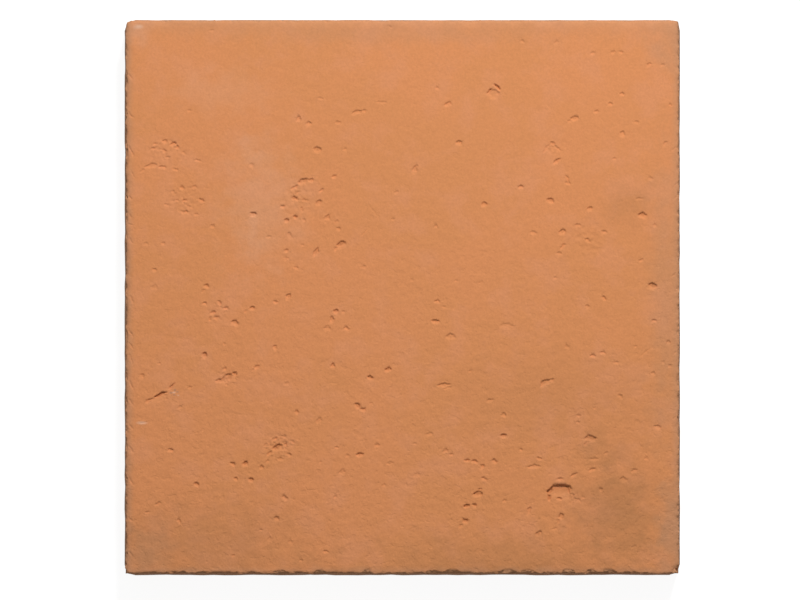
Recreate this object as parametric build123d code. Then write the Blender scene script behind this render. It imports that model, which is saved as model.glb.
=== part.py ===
from build123d import *

import math
import os

# A square paving slab of wet-cast concrete, cast in one piece, lying on its bed.
# Millimetres. +X runs to the right along the front edge, +Y to the back edge, +Z up.
# The origin is the centre of the bed face.
# A share is a place between the middle of the face (0) and its edge (1 or -1).

# Slab
side_length = 400.0
thickness = 38.0
draft_angle = 2.5
arris_radius = 1.5

# Corners of the walking face, seen from above
front_left_radius = 3.8
front_right_radius = 5.4
back_left_radius = 4.7
back_right_radius = 2.6

# Chips broken off the arris: share along the edge, length along it, reach into the face.
# Each one drops down the side by the ratio times its reach.
chip_drop_ratio = 1.3
front_chips = [
    (-0.893, 13.0, 1.2),
    (-0.797, 9.4, 1.6),
    (-0.723, 13.0, 1.6),
    (-0.601, 10.8, 1.1),
    (-0.440, 14.4, 2.6),
    (-0.298, 10.0, 2.9),
    (-0.222, 5.8, 0.9),
    (-0.128, 8.6, 3.0),
    (-0.052, 8.6, 1.1),
    (0.110, 12.2, 2.8),
    (0.180, 14.4, 3.1),
    (0.382, 16.5, 3.0),
    (0.456, 13.0, 3.1),
    (0.599, 10.8, 3.3),
    (0.684, 10.0, 2.9),
    (0.748, 12.2, 3.2),
    (0.815, 5.8, 1.6),
    (0.887, 5.8, 1.1),
]
back_chips = [
    (-0.887, 6.5, 1.0),
    (-0.616, 17.0, 1.1),
    (-0.122, 17.0, 1.2),
    (-0.046, 4.6, 1.4),
    (0.267, 4.4, 1.1),
    (0.515, 4.4, 1.0),
]
left_chips = [
    (-0.930, 4.6, 1.3),
    (-0.802, 4.6, 1.1),
    (-0.664, 6.0, 1.3),
    (-0.550, 5.4, 1.2),
    (-0.468, 6.0, 1.1),
    (-0.289, 10.5, 1.4),
    (-0.146, 10.5, 1.3),
    (-0.002, 10.5, 1.2),
    (0.360, 4.4, 1.2),
    (0.530, 8.6, 1.4),
    (0.660, 4.4, 1.2),
    (0.800, 4.6, 1.1),
]
right_chips = [
    (-0.905, 7.0, 1.3),
    (-0.800, 6.2, 1.2),
    (-0.690, 7.4, 1.5),
    (-0.575, 6.0, 1.2),
    (-0.437, 6.6, 1.5),
    (-0.300, 6.0, 1.2),
    (-0.180, 4.8, 1.2),
    (-0.128, 7.4, 1.5),
    (0.023, 5.4, 1.3),
    (0.139, 5.0, 1.2),
    (0.826, 4.2, 1.1),
    (0.872, 5.4, 1.2),
]

# Chip that takes the arris off round the front right corner
corner_chip_length = 13.0
corner_chip_reach = 3.2

# Round air voids in the face: share in X, share in Y, width of the mouth, depth
round_voids = [
    (0.329, 0.742, 8.6, 2.2),
    (0.227, -0.808, 5.4, 1.5),
    (0.869, 0.296, 6.6, 2.0),
    (0.903, 0.040, 6.6, 1.8),
    (-0.569, -0.602, 5.4, 1.5),
    (-0.538, 0.302, 5.6, 1.6),
    (-0.306, 0.536, 6.0, 1.6),
    (0.205, 0.556, 4.8, 1.4),
]

# Long tears in the face: share in X, share in Y, length, width, depth, turn from +X in degrees
long_tears = [
    (-0.886, -0.363, 19.0, 4.2, 2.0, 24.0),
    (-0.836, -0.328, 8.0, 2.6, 1.2, 46.0),
    (-0.636, -0.286, 15.0, 6.0, 2.0, 24.0),
    (-0.219, 0.190, 10.0, 5.4, 2.0, 12.0),
    (0.684, -0.510, 11.0, 6.0, 1.9, 8.0),
    (0.517, -0.311, 13.5, 5.4, 1.9, 42.0),
    (0.274, -0.711, 8.7, 5.0, 1.8, -10.0),
    (0.244, -0.756, 8.7, 4.0, 1.7, 14.0),
    (0.623, 0.646, 8.6, 4.6, 1.3, -6.0),
    (-0.449, -0.542, 9.4, 4.8, 1.6, 6.0),
    (0.119, -0.087, 7.2, 3.2, 1.2, -8.0),
    (0.152, -0.317, 11.6, 3.2, 1.2, 9.0),
    (-0.248, -0.076, 8.6, 4.8, 1.6, 68.0),
    (0.367, -0.506, 9.0, 4.2, 1.4, 84.0),
    (-0.160, -0.392, 8.4, 4.2, 1.4, -38.0),
]

# Flake scar: a wedge that is deepest along its back side and runs out at its front side
flake_share_x = 0.565
flake_share_y = -0.708
flake_width = 17.0
flake_length = 11.6
flake_depth = 1.9

# Sizes that follow from the ones above
wall_run = thickness * math.tan(math.radians(draft_angle))
face_half = side_length / 2 - wall_run
flake_tilt = math.degrees(math.atan2(flake_depth, flake_length))
face_corner_radii = {
    (-1, -1): front_left_radius,
    (1, -1): front_right_radius,
    (-1, 1): back_left_radius,
    (1, 1): back_right_radius,
}


def drafted_block():
    """The cast block: its bed is wider than its face by the draft of the mould's walls."""
    bed = Rectangle(side_length, side_length)
    for (sign_x, sign_y), face_radius in face_corner_radii.items():
        corner = Vector(sign_x, sign_y) * (side_length / 2)
        nearest = bed.vertices().sort_by_distance(corner)[0]
        bed = fillet(nearest, face_radius + wall_run)
    block = extrude(bed, amount=thickness, taper=draft_angle)
    face_edges = block.faces().sort_by(Axis.Z)[-1].edges()
    return fillet(face_edges, min(arris_radius, *face_corner_radii.values()))


def chip(arris_point, outward, length, reach):
    """A ball set outside the arris, which takes off a chip of that length and reach."""
    drop = chip_drop_ratio * reach
    half = length / 2
    out = (half**2 - reach**2) / (2 * reach)
    up = (half**2 - drop**2) / (2 * drop)
    radius = math.hypot(half, out, up)
    centre = arris_point + outward * out + Vector(0, 0, up)
    return Pos(*centre) * Sphere(radius)


def edge_chips(outward, along, chips):
    """All chips of one side of the face."""
    middle = outward * face_half + Vector(0, 0, thickness)
    return [
        chip(middle + along * (share * face_half), outward, length, reach)
        for share, length, reach in chips
    ]


def corner_chip():
    """The chip at the front right corner, centred on the rounded corner's apex."""
    apex = face_half - front_right_radius * (1 - math.sqrt(0.5))
    outward = Vector(1, -1).normalized()
    arris_point = Vector(apex, -apex, thickness)
    return chip(arris_point, outward, corner_chip_length, corner_chip_reach)


def on_face(share_x, share_y):
    """The place on the walking face at these shares of its half width."""
    return Pos(share_x * face_half, share_y * face_half, thickness)


def round_void(width, depth):
    """A ball whose cap below the face has that mouth and depth."""
    radius = (width**2 / 4 + depth**2) / (2 * depth)
    return Pos(0, 0, radius - depth) * Sphere(radius)


def long_tear(length, width, depth):
    """A lens along X, the overlap of two balls: pointed at both ends, with a keel at its depth."""
    half = length / 2
    aside = (half**2 - width**2 / 4) / width
    rise = (half**2 - depth**2) / (2 * depth)
    ball = Sphere(math.hypot(half, aside, rise))
    return (Pos(0, aside, rise) * ball) & (Pos(0, -aside, rise) * ball)


def flake_scar():
    """A six-sided wedge whose floor dips from the face at its front to full depth at its back."""
    half_width = flake_width / 2
    outline = [
        (-0.9 * half_width, 0),
        (0.9 * half_width, 0),
        (half_width, 0.4 * flake_length),
        (0.8 * half_width, 0.97 * flake_length),
        (-0.4 * half_width, flake_length),
        (-half_width, 0.6 * flake_length),
    ]
    wedge = extrude(Polygon(*outline, align=None), amount=2 * flake_depth)
    return Pos(0, -flake_length / 2, 0) * Rot(X=-flake_tilt) * wedge


def slab_solid():
    """The whole slab with its chips, voids, tears and flake scar cut out."""
    right = Vector(1, 0, 0)
    back = Vector(0, 1, 0)
    cuts = edge_chips(back * -1, right, front_chips)
    cuts += edge_chips(back, right, back_chips)
    cuts += edge_chips(right * -1, back, left_chips)
    cuts += edge_chips(right, back, right_chips)
    cuts.append(corner_chip())
    for share_x, share_y, width, depth in round_voids:
        cuts.append(on_face(share_x, share_y) * round_void(width, depth))
    for share_x, share_y, length, width, depth, turn in long_tears:
        place = on_face(share_x, share_y) * Rot(Z=turn)
        cuts.append(place * long_tear(length, width, depth))
    cuts.append(on_face(flake_share_x, flake_share_y) * flake_scar())
    return drafted_block() - cuts


os.makedirs("parts", exist_ok=True)
export_step(slab_solid(), "parts/slab.step")
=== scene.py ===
"""Looks of a terracotta-look paving slab: the cast slab with its worn face, and the studio it lies in."""

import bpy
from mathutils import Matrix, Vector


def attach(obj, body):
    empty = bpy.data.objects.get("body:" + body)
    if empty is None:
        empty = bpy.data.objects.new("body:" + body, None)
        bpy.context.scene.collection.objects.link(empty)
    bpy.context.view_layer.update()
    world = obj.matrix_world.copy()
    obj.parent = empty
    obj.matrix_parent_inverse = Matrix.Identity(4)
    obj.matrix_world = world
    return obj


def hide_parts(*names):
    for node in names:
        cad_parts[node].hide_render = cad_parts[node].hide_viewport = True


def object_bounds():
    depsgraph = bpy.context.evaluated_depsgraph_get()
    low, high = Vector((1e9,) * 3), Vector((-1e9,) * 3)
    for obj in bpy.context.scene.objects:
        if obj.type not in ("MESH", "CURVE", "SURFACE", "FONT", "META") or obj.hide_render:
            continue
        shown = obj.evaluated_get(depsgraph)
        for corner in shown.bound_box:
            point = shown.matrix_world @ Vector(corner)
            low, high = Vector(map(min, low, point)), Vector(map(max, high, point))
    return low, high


bl_info = {
    "name": "Terracotta-look paving slab",
    "version": (1, 0, 0),
    "blender": (4, 5, 0),
    "location": "View3D > Sidebar > Paving slab",
    "description": "Wet-cast concrete slab with a worn terracotta-coloured face, on a white studio floor",
    "category": "Add Mesh",
}

import math
import random

import bmesh
import bpy
import numpy as np
from mathutils import Vector, noise
from mathutils.bvhtree import BVHTree

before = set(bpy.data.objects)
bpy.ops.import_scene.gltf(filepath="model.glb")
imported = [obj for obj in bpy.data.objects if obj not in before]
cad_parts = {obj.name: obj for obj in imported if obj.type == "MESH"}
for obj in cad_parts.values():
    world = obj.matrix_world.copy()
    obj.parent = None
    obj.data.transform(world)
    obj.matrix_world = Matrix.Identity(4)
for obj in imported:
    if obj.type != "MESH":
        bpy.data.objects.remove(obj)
CAD_LOW, CAD_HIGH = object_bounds()

MM = 0.001

# Where the slab lies in the photograph, in its pixels
PHOTO_MIDDLE_X = 402.3
PHOTO_MIDDLE_Y = 296.8
PHOTO_SLAB_WIDTH = 551.5
PHOTO_SLAB_HEIGHT = 560.0
PHOTO_FRAME_WIDTH = 800
PHOTO_FRAME_HEIGHT = 600

# Draft of the mould's walls, which makes the face smaller than the bed
DRAFT = math.radians(2.5)
FACE_HALF = CAD_HIGH.x - (CAD_HIGH.z - CAD_LOW.z) * math.tan(DRAFT)

# One pixel of the photograph on the face, in metres
PIXEL = 2 * FACE_HALF / PHOTO_SLAB_WIDTH

# The area of the big flake scar, which keeps the solid's form: its middle in the photograph's pixels
FLAKE_PIXEL = (559.0, 495.0)
FLAKE_HALF_WIDTH = 10.5 * MM
FLAKE_HALF_LENGTH = 8.5 * MM

# Depth of the zone under the skin in which points move in towards the middle, as a fan round the edges
FAN_DEPTH = 8 * MM

# How far down the walls the arris chips reach
CHIP_ZONE = 12 * MM

# Anything this near to a face of the blank box lies on it
SKIN_GAP = 0.1 * MM

# Crisp spalls, steep along their upper rim as the photograph shows them:
# middle x and y in its pixels, length and width in its pixels, turn in degrees, depth in mm
SPALLS = [
    # The long gash and the hollow under the torn flake beside it
    (161.0, 396.2, 17, 4, 23, 2.0),
    (150.5, 401.8, 12, 3, 22, 0.9),
    (172.6, 387.6, 10, 3, 46, 1.1),
    (160.0, 400.0, 20, 8, 22, 0.7),
    (228.0, 380.6, 19, 9, 16, 0.9),
    # Round the big flake scar
    (559.5, 482.0, 8, 4, 0, 0.9),
    (559.3, 489.8, 22, 4, 0, 0.9),
    (549.6, 493.6, 8, 5, 52, 1.3),
    (549.0, 500.6, 6, 6, 40, 1.2),
    (569.6, 492.6, 5, 9, 14, 1.5),
    (559.0, 501.6, 7, 4, 0, 1.0),
    (572.0, 497.6, 6, 3, -18, 0.5),
    (577.0, 503.0, 8, 4, -12, 0.5),
    (582.6, 500.8, 4, 3, 0, 0.4),
    # Round the long gash
    (149.0, 402.6, 7, 4, 20, 0.7),
    (167.4, 400.6, 3, 3, 0, 0.4),
    (181.0, 408.6, 5, 3, -24, 0.5),
    (191.0, 389.2, 4, 3, 10, 0.5),
    # The torn flake right of the gash
    (229.0, 377.0, 8, 5, -22, 1.2),
    (234.6, 375.6, 6, 6, -30, 1.2),
    (219.6, 382.6, 9, 5, 4, 1.0),
    (226.4, 379.6, 5, 3, 32, 0.7),
    (229.6, 380.8, 5, 3, 34, 0.7),
    (225.0, 370.6, 5, 5, -20, 0.7),
    (226.8, 386.0, 5, 3, -42, 0.5),
    (257.6, 368.6, 6, 5, 18, 0.9),
    (254.0, 371.4, 4, 3, 40, 0.4),
    # Upper left
    (298.8, 117.6, 6, 6, 0, 0.9),
    (309.0, 122.0, 6, 5, -10, 0.8),
    (321.0, 96.6, 6, 3, 0, 0.4),
    (338.3, 121.0, 7, 4, 0, 0.6),
    (345.5, 148.0, 4, 3, 0, 0.5),
    (317.6, 148.6, 9, 7, -8, 1.1),
    (189.7, 108.8, 5, 3, 0, 0.4),
    (212.0, 27.6, 6, 3, 0, 0.3),
    (252.0, 164.2, 5, 5, -30, 0.5),
    (253.6, 213.4, 9, 6, -6, 1.3),
    (212.7, 225.4, 6, 5, -34, 0.6),
    (269.4, 236.6, 7, 4, 4, 0.5),
    (155.0, 270.0, 6, 4, -16, 0.7),
    (146.4, 243.8, 6, 4, -30, 0.4),
    (164.0, 243.4, 5, 4, -20, 0.5),
    # First rough patch, upper left
    (165.5, 139.6, 7, 4, 14, 0.8),
    (174.4, 142.4, 8, 4, -6, 1.1),
    (177.6, 145.4, 5, 4, -50, 0.7),
    (155.9, 142.6, 6, 3, 16, 0.5),
    (154.0, 147.4, 5, 3, 16, 0.5),
    (164.8, 149.0, 7, 3, -24, 0.6),
    (168.0, 156.0, 7, 3, -8, 0.5),
    (185.0, 152.0, 6, 3, -30, 0.4),
    (198.0, 159.0, 8, 3, -12, 0.6),
    (152.0, 165.0, 16, 5, 8, 0.8),
    (163.0, 166.0, 10, 4, -12, 0.8),
    (176.0, 168.6, 8, 3, -22, 0.5),
    (143.0, 169.4, 7, 3, 8, 0.4),
    # Second rough patch, below the first
    (182.7, 186.6, 6, 4, -8, 0.7),
    (194.8, 186.2, 7, 4, -8, 0.6),
    (201.8, 199.4, 7, 5, -34, 1.0),
    (185.0, 199.8, 6, 3, -8, 0.8),
    (177.6, 199.8, 6, 3, 0, 0.5),
    (167.4, 203.8, 7, 3, -14, 0.5),
    (185.0, 211.4, 9, 4, -4, 0.7),
    (196.7, 213.8, 6, 4, -16, 0.6),
    (174.0, 190.6, 5, 3, 8, 0.4),
    (190.0, 206.0, 5, 3, -20, 0.4),
    # Cluster right of the middle left
    (303.8, 180.6, 13, 7, 24, 1.2),
    (311.0, 179.4, 6, 5, -20, 1.0),
    (295.0, 186.6, 8, 4, 36, 0.8),
    (295.6, 198.0, 6, 7, 24, 1.2),
    (282.8, 206.0, 6, 4, 8, 0.9),
    (295.6, 216.4, 6, 5, -8, 1.3),
    (287.0, 220.0, 6, 5, -4, 1.3),
    (305.0, 199.4, 6, 3, 8, 0.6),
    (302.0, 208.6, 5, 4, 30, 0.6),
    (299.0, 192.0, 5, 3, 40, 0.4),
    (304.0, 219.6, 5, 3, -16, 0.5),
    (289.2, 234.4, 5, 6, -30, 0.6),
    (286.7, 250.4, 6, 4, 0, 0.7),
    (286.7, 258.4, 6, 4, -20, 0.6),
    (296.0, 268.0, 7, 4, -16, 0.6),
    (303.0, 245.0, 5, 3, -10, 0.4),
    (334.4, 175.6, 6, 4, 0, 0.8),
    (321.7, 189.6, 7, 4, 36, 0.8),
    (319.0, 202.0, 8, 6, 10, 1.0),
    (326.8, 217.4, 6, 8, -30, 0.9),
    (336.4, 221.4, 5, 4, 0, 0.5),
    (338.9, 228.6, 6, 5, -30, 0.8),
    (316.0, 253.0, 6, 12, -14, 1.1),
    (341.6, 244.6, 12, 8, 16, 1.4),
    (336.0, 248.6, 6, 4, 40, 0.7),
    # Upper middle and upper right
    (357.4, 110.4, 13, 5, 14, 0.9),
    (364.0, 109.4, 5, 5, -50, 0.7),
    (381.6, 100.4, 13, 3, 0, 0.4),
    (448.0, 102.0, 9, 5, -6, 0.9),
    (437.0, 86.4, 5, 4, 0, 0.5),
    (489.4, 88.8, 10, 3, 48, 1.5),
    (496.8, 84.4, 11, 3, -52, 1.6),
    (493.4, 92.6, 14, 12, 0, 0.9),
    (458.8, 141.6, 7, 6, 0, 1.1),
    (414.2, 169.0, 7, 10, -26, 1.0),
    (416.6, 165.0, 5, 4, 0, 0.7),
    (397.0, 191.4, 5, 4, 0, 0.5),
    (393.0, 218.4, 5, 3, 0, 0.4),
    (483.7, 204.0, 7, 6, -10, 1.1),
    (521.9, 38.6, 5, 4, -10, 0.5),
    (556.3, 39.8, 5, 4, 0, 0.4),
    (592.0, 50.6, 6, 4, -8, 0.5),
    (613.0, 49.4, 6, 4, 0, 0.6),
    (620.0, 49.6, 6, 4, -16, 0.6),
    (648.2, 62.4, 5, 5, -10, 0.7),
    (662.0, 62.4, 5, 4, 0, 0.5),
    (621.4, 91.6, 6, 4, 0, 0.7),
    (609.9, 102.0, 6, 4, -10, 0.7),
    (595.9, 110.0, 6, 4, -16, 0.7),
    (574.0, 116.8, 11, 6, -8, 1.0),
    (569.6, 119.6, 5, 4, 30, 0.5),
    (621.4, 132.6, 7, 8, -20, 0.9),
    (551.8, 141.6, 7, 4, -28, 0.9),
    (546.0, 147.0, 13, 3, 50, 0.5),
    (556.6, 146.6, 12, 3, -48, 0.6),
    (551.4, 148.0, 11, 7, 0, 0.3),
    (636.0, 120.4, 5, 4, 0, 0.5),
    (669.8, 103.0, 4, 4, 0, 0.6),
    (664.7, 142.2, 8, 4, 40, 0.6),
    (613.7, 157.2, 4, 3, 0, 0.5),
    (650.0, 177.4, 6, 4, -20, 0.5),
    (556.6, 159.8, 11, 4, 42, 1.0),
    (566.4, 177.4, 10, 3, -58, 0.8),
    (567.6, 182.0, 7, 4, -16, 0.7),
    (520.6, 186.2, 7, 5, -6, 1.0),
    (549.6, 200.0, 9, 7, -30, 1.2),
    (588.9, 208.4, 7, 6, -12, 0.9),
    (638.6, 198.0, 9, 3, 10, 0.5),
    (642.0, 215.0, 10, 7, -4, 1.3),
    (654.0, 224.8, 5, 4, 0, 0.5),
    (435.8, 226.0, 4, 4, 0, 0.6),
    (532.7, 232.4, 9, 4, -6, 0.6),
    (562.0, 232.2, 9, 7, -8, 1.1),
    (577.4, 225.0, 8, 4, -10, 0.7),
    (603.5, 231.4, 8, 4, -14, 0.8),
    (587.0, 240.4, 8, 4, -30, 0.7),
    (562.7, 246.0, 9, 4, 38, 0.8),
    (558.9, 253.0, 7, 4, -10, 0.6),
    (640.5, 260.4, 6, 4, -10, 0.6),
    # Left middle
    (207.0, 286.4, 7, 5, -22, 1.1),
    (204.4, 291.4, 5, 3, 20, 0.5),
    (205.0, 304.4, 6, 4, -14, 0.9),
    (219.7, 303.4, 7, 4, -52, 0.8),
    (226.7, 308.8, 6, 4, -20, 0.8),
    (213.6, 313.6, 8, 4, 8, 0.9),
    (217.0, 318.6, 8, 5, -6, 0.8),
    (211.0, 319.4, 4, 4, 40, 0.6),
    (252.9, 309.0, 7, 5, -14, 1.2),
    (246.5, 311.8, 5, 4, 20, 0.5),
    (235.0, 324.0, 10, 7, -16, 1.2),
    (275.8, 302.6, 6, 4, -20, 0.8),
    (288.6, 297.6, 6, 8, -14, 1.1),
    (205.0, 356.6, 7, 7, -22, 1.4),
    (275.4, 348.6, 6, 5, -24, 0.9),
    (224.8, 345.0, 3, 3, 0, 0.5),
    (160.4, 364.4, 3, 3, 0, 0.5),
    (142.4, 378.0, 6, 7, -30, 0.7),
    (287.3, 385.4, 5, 4, 0, 0.5),
    (155.0, 288.0, 8, 6, -10, 0.4),
    # Middle
    (327.4, 329.4, 9, 5, -10, 0.6),
    (346.6, 329.6, 7, 5, -10, 0.9),
    (343.4, 312.8, 5, 4, 0, 0.5),
    (336.0, 312.4, 7, 6, -24, 1.2),
    (332.4, 321.0, 5, 9, 14, 0.9),
    (332.5, 367.2, 6, 6, -20, 1.2),
    (369.9, 379.4, 8, 5, -8, 1.3),
    (388.3, 371.0, 8, 6, -10, 1.3),
    (435.0, 322.0, 10, 5, -10, 1.2),
    (437.0, 302.0, 7, 4, -8, 0.9),
    (444.0, 307.6, 5, 3, 0, 0.4),
    (450.5, 338.0, 13, 7, -8, 0.8),
    (444.0, 386.6, 16, 5, 10, 1.0),
    (447.0, 389.6, 10, 3, 12, 0.6),
    (469.6, 372.4, 3, 3, 0, 0.5),
    (490.0, 402.0, 9, 4, 6, 0.6),
    (412.2, 280.2, 6, 3, 0, 0.3),
    (455.6, 281.4, 6, 3, 0, 0.3),
    (480.5, 282.6, 6, 3, 0, 0.3),
    (363.8, 266.8, 6, 4, 0, 0.4),
    (357.0, 407.6, 8, 6, -34, 1.2),
    (363.0, 411.4, 7, 5, -30, 1.0),
    (371.4, 405.0, 5, 3, 0, 0.4),
    (506.6, 327.0, 18, 7, -4, 0.5),
    (566.5, 347.8, 5, 4, 0, 0.5),
    # Right middle, and one faint void far left at the same height
    (602.9, 298.4, 7, 5, -32, 1.0),
    (586.9, 306.8, 6, 4, -16, 0.6),
    (653.3, 321.8, 7, 4, 20, 0.8),
    (555.0, 278.2, 5, 4, 0, 0.4),
    (651.4, 286.6, 10, 8, -22, 1.4),
    (615.6, 363.6, 8, 3, 0, 0.6),
    (634.8, 347.6, 3, 3, 0, 0.5),
    (667.3, 343.6, 5, 6, -16, 0.8),
    (652.0, 374.6, 5, 4, -16, 0.7),
    (669.2, 367.6, 4, 4, 0, 0.5),
    (662.8, 363.6, 4, 4, 0, 0.5),
    (592.0, 357.4, 8, 4, -10, 0.9),
    (602.2, 354.2, 8, 4, -10, 0.8),
    (545.0, 384.6, 14, 7, 38, 1.2),
    (550.6, 381.6, 5, 6, -50, 0.8),
    (619.5, 398.2, 7, 4, -40, 0.6),
    (594.0, 409.4, 4, 3, 0, 0.5),
    (180.0, 409.4, 5, 3, 0, 0.4),
    (503.4, 417.2, 7, 5, -8, 0.8),
    (503.4, 438.0, 8, 6, -6, 1.3),
    (578.0, 417.4, 5, 4, 0, 0.6),
    (577.4, 424.4, 5, 4, -10, 0.6),
    (590.0, 441.0, 15, 8, 8, 1.3),
    (586.0, 445.4, 7, 4, 30, 0.7),
    (656.5, 429.6, 9, 6, -14, 0.9),
    (605.4, 455.4, 5, 4, 0, 0.5),
    (645.6, 461.2, 5, 4, 0, 0.5),
    # Lower left
    (245.6, 466.4, 7, 7, -18, 1.4),
    (233.0, 466.6, 7, 5, -34, 1.1),
    (236.3, 481.8, 6, 5, -10, 0.9),
    (251.2, 482.6, 7, 6, -18, 1.2),
    (261.8, 470.2, 6, 5, -10, 0.9),
    (197.4, 487.2, 7, 6, -10, 1.2),
    (171.2, 452.4, 7, 4, -10, 0.8),
    (159.0, 506.4, 6, 4, 0, 0.7),
    (179.5, 524.4, 6, 5, -16, 0.8),
    (148.0, 515.4, 6, 4, 0, 0.5),
    (233.7, 559.4, 4, 4, 0, 0.6),
    (261.8, 533.2, 4, 3, 0, 0.7),
    (277.0, 522.0, 7, 6, -14, 1.0),
    (285.4, 501.0, 9, 5, -12, 0.9),
    (270.0, 543.0, 8, 5, 0, 0.4),
    (291.0, 545.4, 6, 4, 0, 0.4),
    (301.3, 563.8, 5, 3, 0, 0.5),
    (326.0, 555.6, 6, 4, 0, 0.7),
    (296.9, 414.2, 5, 5, -10, 0.9),
    (319.0, 423.0, 7, 7, -10, 0.7),
    # Rough cluster with its arc
    (278.0, 450.0, 14, 7, 6, 1.4),
    (285.0, 447.6, 6, 5, -34, 0.9),
    (269.6, 456.0, 7, 4, 30, 0.7),
    (288.6, 456.6, 6, 4, -40, 0.6),
    (275.6, 441.0, 8, 4, 20, 0.6),
    (284.0, 438.6, 6, 4, -10, 0.6),
    (292.0, 444.0, 6, 4, -40, 0.5),
    (267.6, 464.0, 6, 4, 10, 0.5),
    (281.0, 461.6, 8, 4, -4, 0.6),
    (266.4, 447.0, 5, 4, 50, 0.5),
    # Lower middle
    (337.0, 449.8, 5, 4, 0, 0.7),
    (360.0, 457.4, 10, 5, 4, 1.2),
    (347.8, 458.0, 5, 3, 0, 0.5),
    (377.2, 447.8, 6, 4, 0, 0.7),
    (390.0, 465.6, 9, 4, 0, 0.4),
    (321.0, 464.6, 3, 3, 0, 0.5),
    (342.0, 475.0, 8, 7, -10, 0.6),
    (429.5, 436.4, 9, 4, 0, 0.5),
    (445.4, 453.0, 6, 4, 0, 0.7),
    (451.0, 456.8, 6, 4, -20, 0.7),
    (414.8, 446.2, 5, 3, 0, 0.4),
    (466.6, 463.0, 8, 4, -6, 1.0),
    (474.6, 464.0, 9, 4, -12, 1.1),
    (481.4, 469.4, 5, 7, -34, 0.9),
    (493.9, 464.0, 7, 6, -10, 1.0),
    (483.7, 481.8, 8, 4, -30, 0.8),
    (335.7, 500.0, 4, 4, 0, 0.5),
    (417.3, 478.4, 9, 6, 0, 0.4),
    (384.0, 488.0, 5, 4, 0, 0.5),
    (520.6, 452.4, 5, 4, 0, 0.7),
    (477.6, 497.2, 12, 7, -8, 1.4),
    (480.0, 492.6, 5, 5, 0, 0.8),
    (467.0, 509.0, 8, 5, 14, 1.4),
    (474.0, 508.4, 6, 5, -20, 1.2),
    (465.4, 524.2, 8, 6, 24, 1.2),
    (461.0, 529.0, 6, 4, 50, 0.6),
    (504.0, 504.0, 5, 4, 0, 0.6),
    # Lower right
    (538.5, 461.0, 7, 4, -6, 0.8),
    (533.4, 469.2, 17, 4, 2, 0.8),
    (593.0, 461.6, 12, 4, -4, 0.6),
    (592.0, 472.2, 9, 4, 26, 0.8),
    (573.5, 477.2, 10, 3, 28, 0.8),
    (561.2, 519.6, 7, 7, 30, 1.0),
    (558.0, 524.0, 5, 4, 50, 0.6),
    (527.8, 514.4, 5, 10, -28, 0.9),
    (537.8, 537.4, 8, 7, -14, 1.0),
    (600.3, 492.6, 5, 4, 0, 0.7),
    (622.7, 482.4, 10, 6, -6, 0.7),
    (633.5, 473.4, 8, 4, 24, 0.8),
    (553.8, 532.0, 9, 3, 8, 0.4),
    (634.0, 550.4, 6, 4, 0, 0.3),
]

# Thin tears and scratches: both ends in the photograph's pixels, width and depth in mm
SCRATCHES = [
    (569.3, 479.6, 578.4, 474.4, 1.1, 0.5),
    (588.4, 473.4, 596.2, 469.4, 1.1, 0.6),
    (638.6, 357.8, 650.7, 347.4, 1.2, 0.5),
    (367.0, 202.0, 381.0, 220.0, 1.2, 0.3),
    (369.0, 226.0, 360.0, 237.0, 1.2, 0.4),
    (140.0, 424.6, 149.0, 424.0, 1.2, 0.4),
    (170.6, 389.6, 176.4, 383.4, 1.4, 0.8),
    (128.6, 70.0, 133.6, 77.0, 1.4, 0.7),
    (128.6, 109.0, 134.0, 116.0, 1.4, 0.7),
    (129.0, 142.0, 134.6, 156.0, 1.6, 0.9),
    (131.0, 168.0, 136.0, 177.0, 1.4, 0.6),
    (129.0, 194.0, 133.0, 199.0, 2.0, 0.8),
    (128.6, 212.0, 133.0, 217.0, 1.4, 0.7),
    (129.0, 222.6, 133.6, 224.6, 1.2, 0.6),
    (129.6, 236.0, 133.6, 243.0, 1.4, 0.6),
    (130.6, 294.0, 134.0, 304.0, 1.6, 0.8),
    (129.0, 330.0, 135.0, 338.0, 1.4, 0.8),
    (129.0, 342.0, 134.6, 350.0, 1.4, 0.8),
    (130.0, 354.0, 134.0, 366.0, 1.4, 0.7),
    (129.6, 381.0, 134.6, 391.0, 1.6, 0.9),
    (129.0, 399.0, 134.0, 407.0, 1.4, 0.7),
    (129.0, 424.0, 134.0, 432.0, 1.4, 0.7),
    (129.0, 447.0, 134.6, 455.0, 1.4, 0.8),
    (129.0, 479.0, 134.0, 487.0, 1.4, 0.8),
    (129.0, 519.0, 134.0, 525.0, 1.4, 0.7),
    (129.6, 554.0, 134.6, 561.0, 1.4, 0.7),
    (671.0, 149.6, 676.0, 144.6, 1.2, 0.6),
    (672.0, 186.0, 676.6, 181.0, 1.2, 0.6),
    (672.6, 198.6, 676.6, 194.0, 1.2, 0.6),
    (670.6, 277.0, 676.0, 271.6, 1.2, 0.6),
    (671.6, 356.6, 676.0, 351.6, 1.2, 0.6),
    (671.6, 421.6, 676.0, 417.0, 1.2, 0.6),
    (388.0, 21.6, 392.0, 24.6, 1.4, 0.7),
]

# Crumbly areas of the face: middle x and y, width and height in the photograph's pixels, depth in mm
ROUGH_PATCHES = [
    (168.0, 150.0, 52, 40, 0.35),
    (186.0, 199.0, 52, 40, 0.35),
    (297.0, 200.0, 46, 60, 0.35),
    (293.0, 250.0, 34, 44, 0.25),
    (326.0, 214.0, 34, 60, 0.25),
    (586.0, 240.0, 56, 44, 0.35),
    (217.0, 314.0, 34, 30, 0.30),
    (279.0, 450.0, 40, 36, 0.50),
    (575.0, 501.0, 26, 18, 0.50),
    (556.0, 506.0, 30, 14, 0.25),
    (229.0, 379.0, 34, 24, 0.35),
    (556.0, 145.0, 34, 22, 0.25),
    (250.0, 475.0, 50, 30, 0.20),
    (478.0, 470.0, 60, 40, 0.18),
    (470.0, 510.0, 40, 50, 0.20),
]

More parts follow.
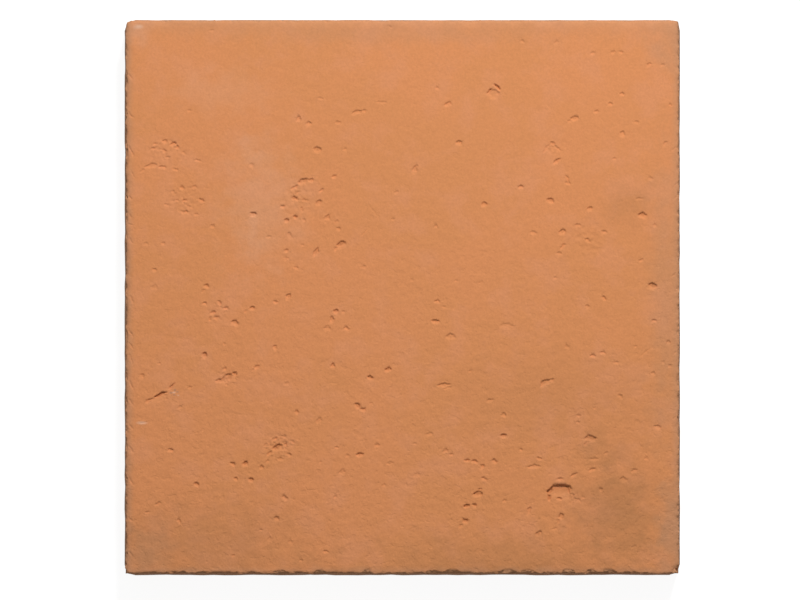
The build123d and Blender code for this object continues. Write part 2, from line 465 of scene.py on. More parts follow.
# Stained and bleached areas: middle x and y, width and height in the photograph's pixels, share, colour
STAINS = [
    (262.0, 205.0, 110, 170, 0.38, "haze"),
    (254.0, 232.0, 18, 70, 0.35, "haze"),
    (222.0, 90.0, 130, 60, 0.25, "haze"),
    (140.0, 30.0, 34, 34, 0.45, "haze"),
    (140.0, 23.0, 14, 7, 0.50, "scuff"),
    (143.6, 424.4, 14, 4, 0.38, "scuff"),
    (250.0, 150.0, 24, 40, 0.30, "haze"),
    (395.0, 32.0, 500, 26, 0.25, "border"),
    (618.0, 514.0, 120, 120, 0.60, "olive"),
    (627.0, 205.0, 64, 60, 0.30, "olive"),
    (600.0, 452.0, 80, 60, 0.30, "olive"),
    (500.0, 572.0, 420, 90, 0.40, "olive"),
    (560.0, 400.0, 300, 120, 0.18, "olive"),
    (150.0, 554.0, 60, 60, 0.45, "border"),
    (670.0, 40.0, 70, 80, 0.45, "border"),
    (666.0, 300.0, 50, 400, 0.35, "border"),
    (200.0, 548.0, 300, 120, 0.35, "olive"),
    (672.0, 532.0, 46, 130, 0.60, "border"),
    (171.8, 394.0, 4, 3, 0.50, "slate"),
    (175.6, 391.2, 3, 3, 0.50, "slate"),
    (178.2, 393.0, 3, 2, 0.45, "slate"),
    (175.2, 396.0, 4, 2, 0.40, "slate"),
    (174.6, 393.6, 4, 2, 0.45, "scuff"),
    (179.0, 396.6, 3, 2, 0.30, "scuff"),
]


def linear(hex_colour):
    """Linear RGB of an sRGB hex colour."""
    channels = [int(hex_colour[i:i + 2], 16) / 255 for i in (1, 3, 5)]
    return tuple(c / 12.92 if c <= 0.04045 else ((c + 0.055) / 1.055) ** 2.4 for c in channels)


def colour(name, description, hex_colour):
    """A colour that a user may change."""
    return bpy.props.FloatVectorProperty(
        name=name, description=description, subtype="COLOR", size=3, min=0, max=1, default=linear(hex_colour)
    )


def length(name, description, millimetres):
    """A length that a user may change, in metres."""
    return bpy.props.FloatProperty(
        name=name, description=description, unit="LENGTH", precision=5, min=0, default=millimetres * MM
    )


def share(name, description, default):
    """A share of a whole."""
    return bpy.props.FloatProperty(name=name, description=description, min=0, max=2, default=default)


class SlabSizes(bpy.types.PropertyGroup):
    """Sizes of the slab's relief and of its mesh."""

    coarse_cell: length("Coarse cell", "Mesh cell where the face is smooth", 8.0)
    front_band: length("Front band", "Width of the finest mesh on each side of the front arris", 4.4)
    side_band: length("Side band", "Width of the finest mesh on each side of the other arrises", 1.0)
    arris_wear: length("Arris wear", "Most that wear takes off the arris, beside the chips", 0.5)
    pillow_drop: length("Pillow drop", "How far the face falls away at its edge", 0.25)
    pillow_reach: length("Pillow reach", "Width of the border that falls away", 11.0)
    face_swell: length("Face swell", "Height of the long, slow waves in the face", 0.22)
    wall_waves: length("Wall waves", "Most that the walls bend in from a straight line", 0.7)
    bed_ripple: length("Bed ripple", "Height of the ripples in the underside", 0.5)
    front_chip_share: share("Front chips", "How deep the front arris is chipped, against the plain solid", 0.20)
    chip_step: length("Chip step", "Height of the steep rim behind each chip in the front arris", 0.45)
    spall_share: share("Spalls", "How deep the spalls are, against their measured depth", 0.95)
    wall_voids: bpy.props.IntProperty(name="Wall voids", description="Air voids in each wall", default=12)
    refinements: bpy.props.IntProperty(
        name="Refinements", description="Times the mesh is halved at a mark", default=4
    )


class SlabColours(bpy.types.PropertyGroup):
    """Colours of the concrete."""

    terracotta: colour("Terracotta", "The pigmented cast skin", "#D58B59")
    ochre: colour("Ochre", "Yellower clouds in the skin", "#D28A57")
    rose: colour("Rose", "Pinker clouds in the skin", "#D68E61")
    haze: colour("Haze", "Pale lime haze on the skin", "#D79C78")
    scuff: colour("Scuff", "Scraped pale streaks", "#E6C9B2")
    olive: colour("Olive", "Dull weathered patches", "#AC764B")
    border: colour("Border", "Greyed border along the arris", "#B88765")
    slate: colour("Slate", "Grey specks", "#8A7468")
    broken: colour("Broken", "Bare concrete in chips and on the walls", "#C9926A")
    # Dirt and painted shade in the hollows: the material lays it on more strongly the deeper a hollow is
    grime_and_shade: colour("Grime", "Dirt in the hollows", "#8E4C22")
    bed: colour("Bed", "Struck-off underside", "#B98F74")


def face_point(pixel_x, pixel_y):
    """The place on the face, in metres, of a pixel of the photograph."""
    share_x = (pixel_x - PHOTO_MIDDLE_X) / (PHOTO_SLAB_WIDTH / 2)
    share_y = (PHOTO_MIDDLE_Y - pixel_y) / (PHOTO_SLAB_HEIGHT / 2)
    return np.array((share_x, share_y)) * FACE_HALF


class Mark:
    """One break in the face: a straight core with a width, a turn and a depth, in metres."""

    def __init__(self, middle, half_length, half_width, turn, depth, peak=0.0, lean=0.0):
        self.middle = middle
        self.half_length = half_length
        self.half_width = half_width
        self.along = np.array((math.cos(turn), math.sin(turn)))
        self.across = np.array((-self.along[1], self.along[0]))
        self.depth = depth
        self.peak = peak
        self.lean = lean

    def local(self, points):
        """The points along and across the mark, in metres from its middle."""
        away = points - self.middle
        return away @ self.along, away @ self.across

    def distance(self, points):
        """How far each point lies outside the mark."""
        u, v = self.local(points)
        radius = min(self.half_length, self.half_width)
        u = np.maximum(np.abs(u) - (self.half_length - radius), 0)
        v = np.maximum(np.abs(v) - (self.half_width - radius), 0)
        return np.hypot(u, v) - radius


def spall_marks():
    """The spalls as marks, each with its own peak in the upper rim."""
    chance = random.Random(11)
    marks = []
    for x, y, long, wide, turn, depth in SPALLS:
        peak, lean = chance.uniform(0.15, 0.8), chance.uniform(-0.3, 0.4)
        size = (long * PIXEL / 2, wide * PIXEL / 2)
        marks.append(Mark(face_point(x, y), *size, math.radians(turn), depth * MM, peak, lean))
    return marks


def scratch_marks():
    """The scratches as marks."""
    marks = []
    for x0, y0, x1, y1, wide, depth in SCRATCHES:
        start, end = face_point(x0, y0), face_point(x1, y1)
        run = end - start
        turn = math.atan2(run[1], run[0])
        marks.append(Mark((start + end) / 2, np.hypot(*run) / 2, wide * MM / 2, turn, depth * MM))
    return marks


def patch_marks():
    """The crumbly patches as marks."""
    return [
        Mark(face_point(x, y), wide * PIXEL / 2, high * PIXEL / 2, 0, depth * MM)
        for x, y, wide, high, depth in ROUGH_PATCHES
    ]


def wall_voids(count):
    """Middles, on the box's skin, and radii of the air voids in the four walls."""
    chance = random.Random(5)
    voids = []
    for side in range(4):
        turn = side * math.pi / 2
        for _ in range(count):
            out, along = CAD_HIGH.x, chance.uniform(-0.93, 0.93) * CAD_HIGH.x
            up = chance.uniform(0.10, 0.84) * CAD_HIGH.z
            x = out * math.cos(turn) - along * math.sin(turn)
            y = out * math.sin(turn) + along * math.cos(turn)
            voids.append((np.array((x, y, up)), chance.choice((0.8, 0.9, 1.1, 1.4, 1.9)) * MM))
    return voids


def blank_box(cell):
    """A closed box the size of the CAD slab, cut into cells."""
    bm = bmesh.new()
    bmesh.ops.create_cube(bm, size=1)
    size = CAD_HIGH - CAD_LOW
    bmesh.ops.scale(bm, vec=size, verts=bm.verts)
    bmesh.ops.translate(bm, vec=(CAD_LOW + CAD_HIGH) / 2, verts=bm.verts)
    for axis in range(3):
        count = round(size[axis] / cell)
        normal = [float(axis == i) for i in range(3)]
        for step in range(1, count):
            place = [0.0, 0.0, 0.0]
            place[axis] = CAD_LOW[axis] + size[axis] * step / count
            everything = bm.verts[:] + bm.edges[:] + bm.faces[:]
            bmesh.ops.bisect_plane(bm, geom=everything, plane_co=place, plane_no=normal)
    return bm


def arris_distance(points):
    """How far points on the box's skin lie from its upper edge, also signed, and which lie in front."""
    reach = np.abs(points[:, :2])
    to_side = CAD_HIGH.x - reach.max(axis=1)
    below = CAD_HIGH.z - points[:, 2]
    front = (points[:, 1] < 0) & (reach[:, 1] >= reach[:, 0])
    return np.hypot(to_side, below), to_side - below, front


def wants_split(points, cell, sizes, fine_marks, soft_marks, voids):
    """Which cells of that size lie near a mark, a void or the arris, by their middles."""
    on_face = points[:, 2] > CAD_HIGH.z - SKIN_GAP
    away, _, front = arris_distance(points)
    finest = sizes.coarse_cell / 2 ** (sizes.refinements - 1)
    band = np.where(front, sizes.front_band, sizes.side_band)
    wanted = away < band + 1.3 * (cell - finest)
    flat = points[:, :2]
    margin = 0.75 * cell
    for mark in fine_marks:
        wanted |= on_face & (mark.distance(flat) < margin)
    if cell > 1.5 * finest:
        for mark in soft_marks:
            wanted |= on_face & (mark.distance(flat) < margin)
    for middle, radius in voids:
        wanted |= np.linalg.norm(points - middle, axis=1) < radius + margin
    return wanted


def edges_to_halve(squares, wanted):
    """The edges of the wanted cells, and of each cell that would otherwise have three of them cut."""
    cut = set()
    allowed = set(squares)
    queue = [face for face, want in zip(squares, wanted) if want]
    chosen = set(queue)
    while queue:
        for edge in queue.pop().edges:
            if edge in cut:
                continue
            cut.add(edge)
            for other in edge.link_faces:
                if other in allowed and other not in chosen and sum(e in cut for e in other.edges) > 2:
                    chosen.add(other)
                    queue.append(other)
    return list(cut)


def refine(bm, sizes, fine_marks, soft_marks, voids):
    """Halves the cells near marks and voids and along the arris, again and again."""
    cell = sizes.coarse_cell
    for _ in range(sizes.refinements):
        small, large = 0.8 * cell**2, 1.2 * cell**2
        squares = [f for f in bm.faces if len(f.verts) == 4 and small < f.calc_area() < large]
        middles = np.array([f.calc_center_median() for f in squares])
        wanted = wants_split(middles, cell, sizes, fine_marks, soft_marks, voids)
        bmesh.ops.subdivide_edges(bm, edges=edges_to_halve(squares, wanted), cuts=1, use_grid_fill=True)
        cell /= 2
    return bm


def field(points, feature, seed, octaves=2):
    """Smooth noise from -1 to 1 at each point, with features of that size in metres."""
    shift = Vector((seed, -seed, 2 * seed))
    values = [noise.fractal(Vector(p) / feature + shift, 0.8, 2.1, octaves) for p in points]
    return np.array(values)


def warp(points, feature, reach, seed):
    """Sideways shifts of up to about reach, smooth over features of that size."""
    shifts = [field(points, feature, seed + 17 * axis) for axis in range(3)]
    return np.stack(shifts, axis=1) * reach


def inward_directions(points):
    """Unit directions from the box's skin to a smaller box inside it, a fan along each edge."""
    run = np.clip(points, np.array(CAD_LOW) + FAN_DEPTH, np.array(CAD_HIGH) - FAN_DEPTH) - points
    return run / np.linalg.norm(run, axis=1, keepdims=True)


def slid_on_skin(points, shifts):
    """The points moved by the shifts along the box's skin, never off it."""
    low, high = np.array(CAD_LOW), np.array(CAD_HIGH)
    held = (points < low + 0.001 * MM) | (points > high - 0.001 * MM)
    return np.where(held, points, np.clip(points + shifts, low, high))


def cad_depths(points):
    """How far below the box's skin the CAD slab's surface lies along each inward direction."""
    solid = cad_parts["slab"].data
    corners = [vertex.co for vertex in solid.vertices]
    tree = BVHTree.FromPolygons(corners, [face.vertices for face in solid.polygons])
    back_off = 3 * MM
    depths = np.zeros(len(points))
    directions = inward_directions(points)
    starts = points - directions * back_off
    for i, (start, direction) in enumerate(zip(starts.tolist(), directions.tolist())):
        place, _, _, reached = tree.ray_cast(start, direction)
        if place is None:
            raise RuntimeError("A point of the blank box has no solid slab below it")
        depths[i] = max(reached - back_off, 0)
    return depths


def chip_depths(depths, away, across):
    """How much deeper each place beside the arris lies than the sound arris does there."""
    excess = np.zeros(len(depths))
    beside = np.nonzero(away < 8 * MM)[0]
    bins = np.round(across[beside] / (0.4 * MM)).astype(int)
    for number in np.unique(bins):
        chosen = beside[bins == number]
        excess[chosen] = depths[chosen] - np.percentile(depths[chosen], 12)
    return np.maximum(excess, 0)


def ramp(values, start, end):
    """0 before start, 1 after end and a smooth rise between."""
    risen = np.clip((values - start) / (end - start), 0, 1)
    return risen * risen * (3 - 2 * risen)


def spall_depth(mark, points):
    """A hollow with a steep, peaked upper rim, whose floor climbs gently to its lower rim."""
    lower_run, upper_run = 1.0, 0.24
    u, v = mark.local(points)
    u, v = u / mark.half_length, v / mark.half_width
    v = v + mark.peak * (np.abs(u - mark.lean) - 0.5)
    radius = np.hypot(u, v)
    upper = 0.5 + 0.5 * v / np.maximum(radius, 1e-6)
    run = lower_run + (upper_run - lower_run) * ramp(upper, 0.35, 0.8)
    return mark.depth * ramp((1 - radius) / run, 0, 1)


def scratch_depth(mark, points):
    """A groove with tapering ends."""
    u, v = mark.local(points)
    taper = np.clip(1 - (u / mark.half_length) ** 2, 0, 1)
    return mark.depth * taper * np.clip(1 - np.abs(v) / mark.half_width, 0, 1)


def patch_depth(mark, points, crumbs):
    """Crumbly relief that fades out towards the patch's edge."""
    u, v = mark.local(points)
    radius = np.hypot(u / mark.half_length, v / mark.half_width)
    return mark.depth * (1 - ramp(radius, 0.45, 1.0)) * crumbs


def near(mark, points, on_face):
    """Indices of the points on the face that the mark may reach."""
    reach = max(mark.half_length, mark.half_width) + 1.5 * MM
    return np.nonzero((np.abs(points - mark.middle).max(axis=1) < reach) & on_face)[0]


class Skin:
    """The blank box's skin: its points, and which part of the slab each of them lies on."""

    def __init__(self, mesh):
        points = np.zeros(len(mesh.vertices) * 3)
        mesh.vertices.foreach_get("co", points)
        points = points.reshape(-1, 3)
        self.points = points
        self.on_face = points[:, 2] > CAD_HIGH.z - SKIN_GAP
        self.on_bed = points[:, 2] < CAD_LOW.z + SKIN_GAP
        self.inner = CAD_HIGH.x - np.abs(points[:, :2]).max(axis=1)
        self.away, self.across, self.front = arris_distance(points)
        flake_x, flake_y = np.abs(points[:, :2] - face_point(*FLAKE_PIXEL)).T
        self.in_flake = (flake_x < FLAKE_HALF_WIDTH) & (flake_y < FLAKE_HALF_LENGTH)
        calm = np.where(self.in_flake, 0.4, 1.0)[:, None]
        self.jagged = warp(points, feature=2.4 * MM, reach=0.9 * MM, seed=1.3) * calm
        self.crumbs = field(points, feature=2.2 * MM, seed=4.9, octaves=3)


def cut_depths(skin, sizes, voids):
    """How far each point moves in, and the part of it that is chips.

    It is the solid's arris with ragged chips, its flake scar, and the voids, waves and wear of the
    walls. The solid's hollows inside the face are left out, because the marks make them.
    """
    near_top = skin.points[:, 2] > CAD_HIGH.z - CHIP_ZONE
    depths = cad_depths(slid_on_skin(skin.points, skin.jagged * near_top[:, None]))
    depths *= np.where(skin.on_face & ~skin.in_flake & (skin.inner > 7 * MM), 0, 1)
    chips = chip_depths(depths, skin.away, skin.across)
    depths -= np.where(skin.front, 1 - sizes.front_chip_share, 0) * chips
    depths += np.where(skin.front, sizes.chip_step, 0) * ramp(chips, 0.2 * MM, 0.8 * MM)
    depths += np.where(skin.front, 0.16, 0.35) * chips * np.clip(skin.crumbs, -0.5, 0.8)
    for middle, radius in voids:
        off = np.linalg.norm(skin.points + 0.3 * skin.jagged - middle, axis=1) / radius
        depths += 0.8 * radius * np.sqrt(np.clip(1 - off**2, 0, 1))
    waves = np.clip(0.3 + 1.4 * field(skin.points, feature=11 * MM, seed=8.1), 0, 1)
    depths += sizes.wall_waves * waves * (1 - ramp(skin.inner, 1.5 * MM, 4 * MM))
    wear = np.clip(0.35 + 1.5 * field(skin.points, feature=3 * MM, seed=2.2, octaves=3), 0, 1)
    depths += sizes.arris_wear * wear * (1 - ramp(skin.away, 0.5 * MM, 3.5 * MM))
    return depths, chips


def mark_depths(skin, sizes, spalls, scratches, patches):
    """How deep the marks lie in the face at each point: the deepest one counts, and crumbs add to it."""
    ragged = skin.points[:, :2] + 0.6 * skin.jagged[:, :2]
    relief = np.zeros(len(skin.points))
    for marks, depth_of in ((spalls, spall_depth), (scratches, scratch_depth)):
        for mark in marks:
            chosen = near(mark, ragged, skin.on_face)
            found = sizes.spall_share * depth_of(mark, ragged[chosen])
            relief[chosen] = np.maximum(relief[chosen], found)
    loose = np.clip(0.45 + 1.3 * skin.crumbs, 0, 1.4)
    for mark in patches:
        chosen = near(mark, ragged, skin.on_face)
        relief[chosen] += patch_depth(mark, ragged[chosen], loose[chosen])
    return relief


def moved_points(skin, sizes, depths, relief):
    """Where the points end up: moved in, with the face's marks, slow waves and border, and a rippled bed."""
    swell = 0.5 + 0.5 * field(skin.points, feature=45 * MM, seed=3.7)
    fall = 1 - ramp(skin.inner, 0, sizes.pillow_reach)
    sunk = relief + sizes.face_swell * swell + sizes.pillow_drop * fall
    sunk *= skin.on_face * ramp(skin.inner, 0, 2 * MM)
    ripple = sizes.bed_ripple * np.clip(field(skin.points, feature=18 * MM, seed=6.3, octaves=3), 0, 1)
    ripple *= skin.on_bed * ramp(skin.inner, 2 * MM, 12 * MM)
    moved = skin.points + inward_directions(skin.points) * np.maximum(depths, 0)[:, None]
    moved[:, 2] += ripple - sunk
    if not np.isfinite(moved).all():
        raise RuntimeError("Some points of the slab have no place")
    return moved


def sharpen_bed_rim(bm):
    """Keeps the edge between the walls and the struck-off bed crisp in the shading."""
    for edge in bm.edges:
        on_rim = all(vertex.co.z < CAD_LOW.z + SKIN_GAP for vertex in edge.verts)
        edge.smooth = not (on_rim and edge.calc_face_angle() > 1)


def write_attribute(mesh, name, values):
    """Stores one number for each vertex, for the materials."""
    attribute = mesh.attributes.new(name, "FLOAT", "POINT")
    attribute.data.foreach_set("value", values.astype(np.float32))


def add_node(tree, kind, settings=(), values=(), links=()):
    """Adds a node: settings are its options, values its sockets' numbers, links what feeds its sockets."""
    made = tree.nodes.new(kind)
    for name, value in dict(settings).items():
        setattr(made, name, value)
    for socket, value in dict(values).items():
        made.inputs[socket].default_value = value
    for socket, source in dict(links).items():
        tree.links.new(source, made.inputs[socket])
    return made


def mixed(tree, amount, under, over):
    """The over colour laid on the under one by that amount, a socket; colours are sockets or RGB."""
    node = add_node(tree, "ShaderNodeMix", {"data_type": "RGBA"}, {}, {0: amount})
    for socket, source in ((6, under), (7, over)):
        if isinstance(source, bpy.types.NodeSocket):
            tree.links.new(source, node.inputs[socket])
        else:
            node.inputs[socket].default_value = (*source, 1)
    return node.outputs[2]


def noise_share(tree, place, millimetres, low, high, detail=3.0, top=1.0):
    """Noise with features of that size, as a share from 0 to top between two of its levels."""
    cloud = add_node(
        tree, "ShaderNodeTexNoise", {}, {"Scale": 1000 / millimetres, "Detail": detail, "Roughness": 0.55},
        {"Vector": place},
    )
    spread = {"From Min": low, "From Max": high, "To Min": 0.0, "To Max": top}
    return add_node(tree, "ShaderNodeMapRange", {"interpolation_type": "SMOOTHSTEP"}, spread,
                    {"Value": cloud.outputs["Fac"]}).outputs["Result"]


def level_share(tree, value, start, end, top):
    """A share that falls from top to 0 while the value goes from start to end."""
    spread = {"From Min": start, "From Max": end, "To Min": top, "To Max": 0.0}
    return add_node(tree, "ShaderNodeMapRange", {"interpolation_type": "SMOOTHSTEP"}, spread,
                    {"Value": value}).outputs["Result"]


def attribute_share(tree, name, top):
    """A share from 0 to top that the mesh stores for each of its points."""
    stored = add_node(tree, "ShaderNodeAttribute", {"attribute_name": name})
    return level_share(tree, stored.outputs["Fac"], 1.0, 0.0, top)


def stain_share(tree, place, cloud, pixel, size, top):
    """A soft, cloudy disc on the face, as a share up to top."""
    x, y = face_point(*pixel)
    half = [side * PIXEL / 2 for side in size]
    local = add_node(
        tree, "ShaderNodeMapping", {"vector_type": "TEXTURE"},
        {"Location": (x, y, CAD_HIGH.z), "Scale": (*half, 1.0)}, {"Vector": place},
    )
    radius = add_node(tree, "ShaderNodeVectorMath", {"operation": "LENGTH"}, {}, {0: local.outputs[0]})
    frayed = add_node(
        tree, "ShaderNodeMath", {"operation": "MULTIPLY_ADD"}, {1: 1.6}, {0: cloud, 2: radius.outputs["Value"]},
    )
    return level_share(tree, frayed.outputs[0], 0.8, 1.9, top)


def terracotta_concrete(colours):
    """Wet-cast concrete with iron-oxide pigment, cast face down in a textured mould and left matt.

    The eye sees a dull orange skin with faint ochre and pink clouds, a fine sandy grain, a greyed
    border along the arris, bare brown-grey concrete where chips broke off, and dirt with painted
    shade in the hollows, darker the deeper they are.
    """
    material = bpy.data.materials.new("pigmented_wet_cast_concrete")
    material.use_nodes = True
    tree = material.node_tree
    tree.nodes.clear()
    place = add_node(tree, "ShaderNodeTexCoord").outputs["Object"]

    skin = mixed(tree, noise_share(tree, place, 75, 0.40, 0.62), colours.terracotta, colours.ochre)
    skin = mixed(tree, noise_share(tree, place, 22, 0.45, 0.70, top=0.7), skin, colours.rose)
    cloud = add_node(tree, "ShaderNodeTexNoise", {}, {"Scale": 1000 / 13, "Detail": 4.0}, {"Vector": place})
    for x, y, wide, high, top, name in STAINS:
        stain = stain_share(tree, place, cloud.outputs["Fac"], (x, y), (wide, high), top)
        skin = mixed(tree, stain, skin, getattr(colours, name))

    # Greyed borders along the four sides, the back's in two steps; then dirt and painted shade in the
    # hollows, darker where they are deeper, and bare concrete on the walls, in the chips and underneath
    wander = add_node(tree, "ShaderNodeVectorMath", {"operation": "MULTIPLY_ADD"},
                      {1: (0.006, 0.006, 0), 2: (-0.003, -0.003, 0)}, {0: cloud.outputs["Color"]})
    roamed = add_node(tree, "ShaderNodeVectorMath", {"operation": "ADD"}, {}, {0: place, 1: wander.outputs[0]})
    axes = add_node(tree, "ShaderNodeSeparateXYZ", {}, {}, {"Vector": roamed.outputs[0]})
    edge = CAD_HIGH.x
    for axis, start, end, top in (
        ("X", -edge, -edge + 9 * MM, 0.85),
        ("X", edge, edge - 9 * MM, 0.65),
        ("Y", -edge, -edge + 8 * MM, 0.75),
        ("Y", edge, edge - 15 * MM, 0.45),
        ("Y", edge, edge - 3 * MM, 0.8),
    ):
        skin = mixed(tree, level_share(tree, axes.outputs[axis], start, end, top), skin, colours.border)
    # Painted shade with dirt: each hollow darkens with its depth
    hollow = attribute_share(tree, "hollow", 0.35)
    skin = mixed(tree, hollow, skin, colours.grime_and_shade)
    wall = level_share(tree, axes.outputs["Z"], CAD_HIGH.z - 4 * MM, CAD_HIGH.z - 2 * MM, 0.6)
    raw = mixed(tree, noise_share(tree, place, 17, 0.40, 0.62, top=0.6), colours.broken, colours.bed)
    skin = mixed(tree, wall, skin, raw)
    skin = mixed(tree, attribute_share(tree, "broken", 0.85), skin, colours.broken)
    skin = mixed(tree, level_share(tree, axes.outputs["Z"], 1 * MM, 3 * MM, 0.8), skin, colours.bed)

    grain = noise_share(tree, place, 1.6, 0.3, 0.7, detail=2.0)
    shade = add_node(tree, "ShaderNodeMapRange", {}, {"To Min": 0.96, "To Max": 1.03}, {"Value": grain})
    grained = add_node(tree, "ShaderNodeVectorMath", {"operation": "SCALE"}, {}, {0: skin, 3: shade.outputs[0]})

    # Relief too fine for the mesh: 6 mm dimples, 4.5 mm dents and sand grains, stronger to the front.
    # The sand is drawn at 1.2 mm, coarser than its real half millimetre, so that it shows.
    smooth_end, coarse_end = 120 * MM, -170 * MM
    coarser = add_node(
        tree, "ShaderNodeMapRange", {},
        {"From Min": smooth_end, "From Max": coarse_end, "To Min": 0.38, "To Max": 1.0},
        {"Value": axes.outputs["Y"]},
    )
    dimples = add_node(tree, "ShaderNodeTexNoise", {}, {"Scale": 1000 / 6, "Detail": 3.0}, {"Vector": place})
    dents = noise_share(tree, place, 4.5, 0.66, 0.58, detail=1.0)
    sand = add_node(tree, "ShaderNodeTexNoise", {}, {"Scale": 1000 / 1.2, "Detail": 2.0}, {"Vector": place})
    relief = None
    for height, distance in ((dimples.outputs["Fac"], 0.8), (dents, 0.12), (sand.outputs["Fac"], 0.1)):
        links = {"Height": height, "Strength": coarser.outputs[0]}
        if relief:
            links["Normal"] = relief.outputs[0]
        relief = add_node(tree, "ShaderNodeBump", {}, {"Distance": distance * MM}, links)
    surface = add_node(
        tree, "ShaderNodeBsdfPrincipled", {}, {"Roughness": 0.9, "Specular IOR Level": 0.25},
        {"Base Color": grained.outputs[0], "Normal": relief.outputs[0]},
    )
    add_node(tree, "ShaderNodeOutputMaterial", links={"Surface": surface.outputs[0]})
    return material


class OBJECT_OT_cast_slab(bpy.types.Operator):
    """Makes the cast slab with its chips, spalls, tears and worn arris."""

    bl_idname = "object.cast_slab"
    bl_label = "Cast slab"

    def execute(self, context):
        sizes = context.scene.slab_sizes
        spalls, scratches, patches = spall_marks(), scratch_marks(), patch_marks()
        voids = wall_voids(sizes.wall_voids)
        bm = refine(blank_box(sizes.coarse_cell), sizes, spalls + scratches, patches, voids)
        bmesh.ops.recalc_face_normals(bm, faces=bm.faces)
        sharpen_bed_rim(bm)
        mesh = bpy.data.meshes.new("cast_slab")
        bm.to_mesh(mesh)
        bm.free()

        skin = Skin(mesh)
        depths, chips = cut_depths(skin, sizes, voids)
        relief = mark_depths(skin, sizes, spalls, scratches, patches)
        mesh.vertices.foreach_set("co", moved_points(skin, sizes, depths, relief).ravel())
        mesh.shade_smooth()
        mesh.update()

        # Depth of the face's hollows, which the material turns into dirt and painted shade
        pit = (relief + depths * skin.in_flake) * skin.on_face * (skin.inner > 6 * MM)
        write_attribute(mesh, "hollow", ramp(pit, 0.6 * MM, 1.8 * MM))
        write_attribute(mesh, "broken", ramp(chips, 0.5 * MM, 1.3 * MM) * (skin.away < 7 * MM))

        piece = bpy.data.objects.new("cast_slab", mesh)
        context.collection.objects.link(piece)
        mesh.materials.append(terracotta_concrete(context.scene.slab_colours))
        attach(piece, "root")
        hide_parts("slab")
        return {"FINISHED"}


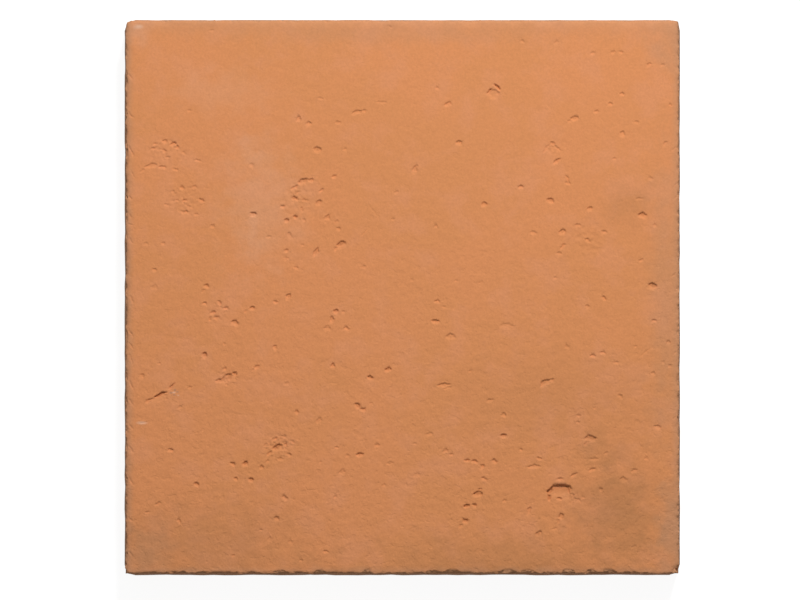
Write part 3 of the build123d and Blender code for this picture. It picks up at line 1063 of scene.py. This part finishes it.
class OBJECT_OT_slab_studio(bpy.types.Operator):
    """Makes the white floor, the soft light from the back and the camera above the slab."""

    bl_idname = "object.slab_studio"
    bl_label = "Slab studio"

    def execute(self, context):
        scene = context.scene
        self.make_floor(context)
        self.make_world(scene)
        self.make_key_light(context)
        self.make_camera(context)
        scene.view_settings.view_transform = "Standard"
        return {"FINISHED"}

    def make_floor(self, context):
        """A paper floor that shows white to the camera, keeps the slab's shadow and is clear from below."""
        half_size, gap = 8, 0.2 * MM
        bm = bmesh.new()
        bmesh.ops.create_grid(bm, x_segments=1, y_segments=1, size=half_size)
        bmesh.ops.translate(bm, vec=(0, 0, CAD_LOW.z - gap), verts=bm.verts)
        mesh = bpy.data.meshes.new("studio_floor")
        bm.to_mesh(mesh)
        bm.free()
        floor = bpy.data.objects.new("studio_floor", mesh)
        context.collection.objects.link(floor)

        material = bpy.data.materials.new("white_paper_sweep")
        material.use_nodes = True
        tree = material.node_tree
        tree.nodes.clear()
        seen = seen_directly(tree)
        paper = add_node(tree, "ShaderNodeBsdfDiffuse", {}, {"Color": (0.30, 0.30, 0.30, 1)})
        glow = add_node(tree, "ShaderNodeEmission", {}, {"Strength": 0.90}, {"Color": seen})
        both = add_node(tree, "ShaderNodeAddShader", {}, {}, {0: paper.outputs[0], 1: glow.outputs[0]})
        behind = add_node(tree, "ShaderNodeNewGeometry").outputs["Backfacing"]
        clear = add_node(tree, "ShaderNodeBsdfTransparent")
        surface = add_node(
            tree, "ShaderNodeMixShader", {}, {}, {0: behind, 1: both.outputs[0], 2: clear.outputs[0]},
        )
        add_node(tree, "ShaderNodeOutputMaterial", links={"Surface": surface.outputs[0]})
        mesh.materials.append(material)

    def make_world(self, scene):
        """Even, weak light from all round, behind a white backdrop."""
        world = bpy.data.worlds.new("studio_world")
        world.use_nodes = True
        tree = world.node_tree
        tree.nodes.clear()
        fill, white = 0.23, 1.0
        level = add_node(
            tree, "ShaderNodeMapRange", {}, {"To Min": fill, "To Max": white}, {"Value": seen_directly(tree)},
        )
        light = add_node(
            tree, "ShaderNodeBackground", {}, {"Color": (1, 1, 1, 1)}, {"Strength": level.outputs[0]},
        )
        add_node(tree, "ShaderNodeOutputWorld", links={"Surface": light.outputs[0]})
        scene.world = world

    def make_key_light(self, context):
        """The soft lamp at the back, a little to the right."""
        azimuth, elevation, distance = math.radians(14), math.radians(49), 2.4
        data = bpy.data.lights.new("key_softbox", "AREA")
        data.shape = "RECTANGLE"
        data.size, data.size_y = 0.6, 0.5
        data.energy = 54
        lamp = bpy.data.objects.new("key_softbox", data)
        toward = Vector((
            math.sin(azimuth) * math.cos(elevation),
            math.cos(azimuth) * math.cos(elevation),
            math.sin(elevation),
        ))
        lamp.location = toward * distance
        lamp.rotation_euler = toward.to_track_quat("Z", "Y").to_euler()
        context.collection.objects.link(lamp)

    def make_camera(self, context):
        """The camera above the slab, which leans a little to the front.

        The slab's outline is its bed's. The bed lies behind the face, so it looks a little smaller.
        The outline's width is near the mean of the photographed width and height, since the slab is square.
        """
        distance, lean = 9.0, math.radians(0.8)
        bed_shrink, outline_pixels = 0.84 * MM, 555.5
        data = bpy.data.cameras.new("photo_camera")
        visible = 2 * (CAD_HIGH.x - bed_shrink) * PHOTO_FRAME_WIDTH / outline_pixels
        data.lens = data.sensor_width * distance / visible
        data.clip_end = 100
        camera = bpy.data.objects.new("photo_camera", data)
        aim = Vector((
            (PHOTO_FRAME_WIDTH / 2 - PHOTO_MIDDLE_X) * PIXEL,
            (PHOTO_MIDDLE_Y - PHOTO_FRAME_HEIGHT / 2) * PIXEL,
            CAD_HIGH.z,
        ))
        back = Vector((0, -math.sin(lean), math.cos(lean)))
        camera.location = aim + back * distance
        camera.rotation_euler = (lean, 0, 0)
        context.collection.objects.link(camera)
        context.scene.camera = camera


def seen_directly(tree):
    """1 for rays from the camera, a mirror or glass, which then see plain white; 0 for light."""
    path = add_node(tree, "ShaderNodeLightPath").outputs
    seen = path["Is Camera Ray"]
    for other in ("Is Glossy Ray", "Is Transmission Ray"):
        either = add_node(tree, "ShaderNodeMath", {"operation": "MAXIMUM"}, {}, {0: seen, 1: path[other]})
        seen = either.outputs[0]
    return seen


class VIEW3D_PT_paving_slab(bpy.types.Panel):
    """Lists the slab's sizes and colours, with the buttons that make the slab and its studio."""

    bl_idname = "VIEW3D_PT_paving_slab"
    bl_label = "Paving slab"
    bl_space_type = "VIEW_3D"
    bl_region_type = "UI"
    bl_category = "Paving slab"

    def draw(self, context):
        for group in (context.scene.slab_sizes, context.scene.slab_colours):
            box = self.layout.box()
            for name in group.__annotations__:
                box.prop(group, name)
        for operator in (OBJECT_OT_cast_slab, OBJECT_OT_slab_studio):
            self.layout.operator(operator.bl_idname)


CLASSES = (SlabSizes, SlabColours, OBJECT_OT_cast_slab, OBJECT_OT_slab_studio, VIEW3D_PT_paving_slab)


def register():
    for cls in CLASSES:
        bpy.utils.register_class(cls)
    bpy.types.Scene.slab_sizes = bpy.props.PointerProperty(type=SlabSizes)
    bpy.types.Scene.slab_colours = bpy.props.PointerProperty(type=SlabColours)


def unregister():
    del bpy.types.Scene.slab_sizes
    del bpy.types.Scene.slab_colours
    for cls in reversed(CLASSES):
        bpy.utils.unregister_class(cls)


def main():
    register()
    bpy.ops.object.cast_slab()
    bpy.ops.object.slab_studio()


if __name__ == "__main__":
    main()
